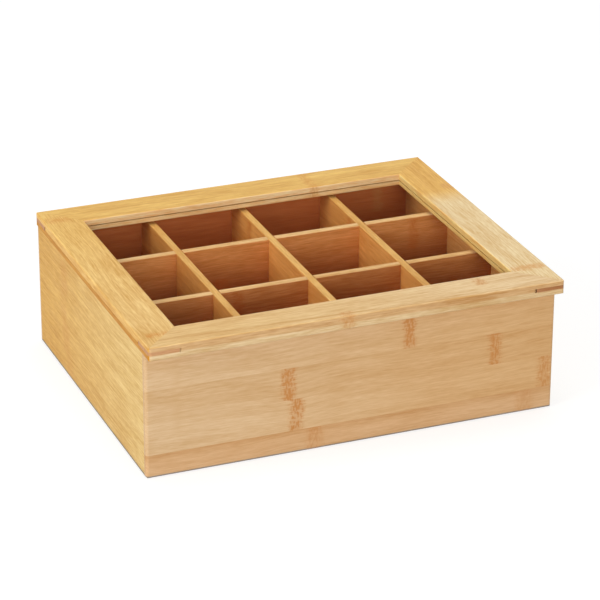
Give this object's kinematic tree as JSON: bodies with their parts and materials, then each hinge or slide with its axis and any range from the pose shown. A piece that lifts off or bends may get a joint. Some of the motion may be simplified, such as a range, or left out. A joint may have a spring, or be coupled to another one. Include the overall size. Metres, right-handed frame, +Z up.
{
  "type": "tea bag organizer box",
  "caption": "Low bamboo box with a grid of upright tea bag compartments under a hinged lid, whose mitred frame holds a clear window and overhangs the front as a finger lip.",
  "frame": {"origin": "centre of the underside of the closed box, in the plane it rests on", "axes": "+X to the right along the front, +Y from front to back, +Z up"},
  "size_m": [0.3096, 0.2603, 0.1042],
  "materials": {
    "bamboo_board": "satin",
    "bamboo_bottom": "satin",
    "bamboo_cross": "satin",
    "bamboo_long": "satin",
    "bamboo_frame": "satin",
    "bamboo_key": "satin",
    "clear_pane": "polished",
    "hinge_brass": "satin"
  },
  "bodies": {
    "box": {"front_wall": "bamboo_board", "back_wall": "bamboo_board", "left_wall": "bamboo_board", "right_wall": "bamboo_board", "bottom_panel": "bamboo_bottom", "cross_divider_left": "bamboo_cross", "cross_divider_middle": "bamboo_cross", "cross_divider_right": "bamboo_cross", "long_divider_front": "bamboo_long", "long_divider_back": "bamboo_long", "lower_hinge_leaf_left": "hinge_brass", "lower_hinge_leaf_right": "hinge_brass", "hinge_pin_left": "hinge_brass", "hinge_pin_right": "hinge_brass", "box_hinge_screws": "hinge_brass"},
    "lid": {"lid_front_rail": "bamboo_frame", "lid_back_rail": "bamboo_frame", "lid_left_stile": "bamboo_frame", "lid_right_stile": "bamboo_frame", "corner_key_front_left": "bamboo_key", "corner_key_front_right": "bamboo_key", "corner_key_back_left": "bamboo_key", "corner_key_back_right": "bamboo_key", "window_pane": "clear_pane", "upper_hinge_leaf_left": "hinge_brass", "upper_hinge_leaf_right": "hinge_brass", "lid_hinge_screws": "hinge_brass"}
  },
  "joints": [
    {"name": "lid_hinge", "type": "hinge", "parent": "box", "child": "lid", "pos_m": [0, 0.1243, 0.094], "axis": [-1, 0, 0], "range_deg": [0, 100]}
  ]
}
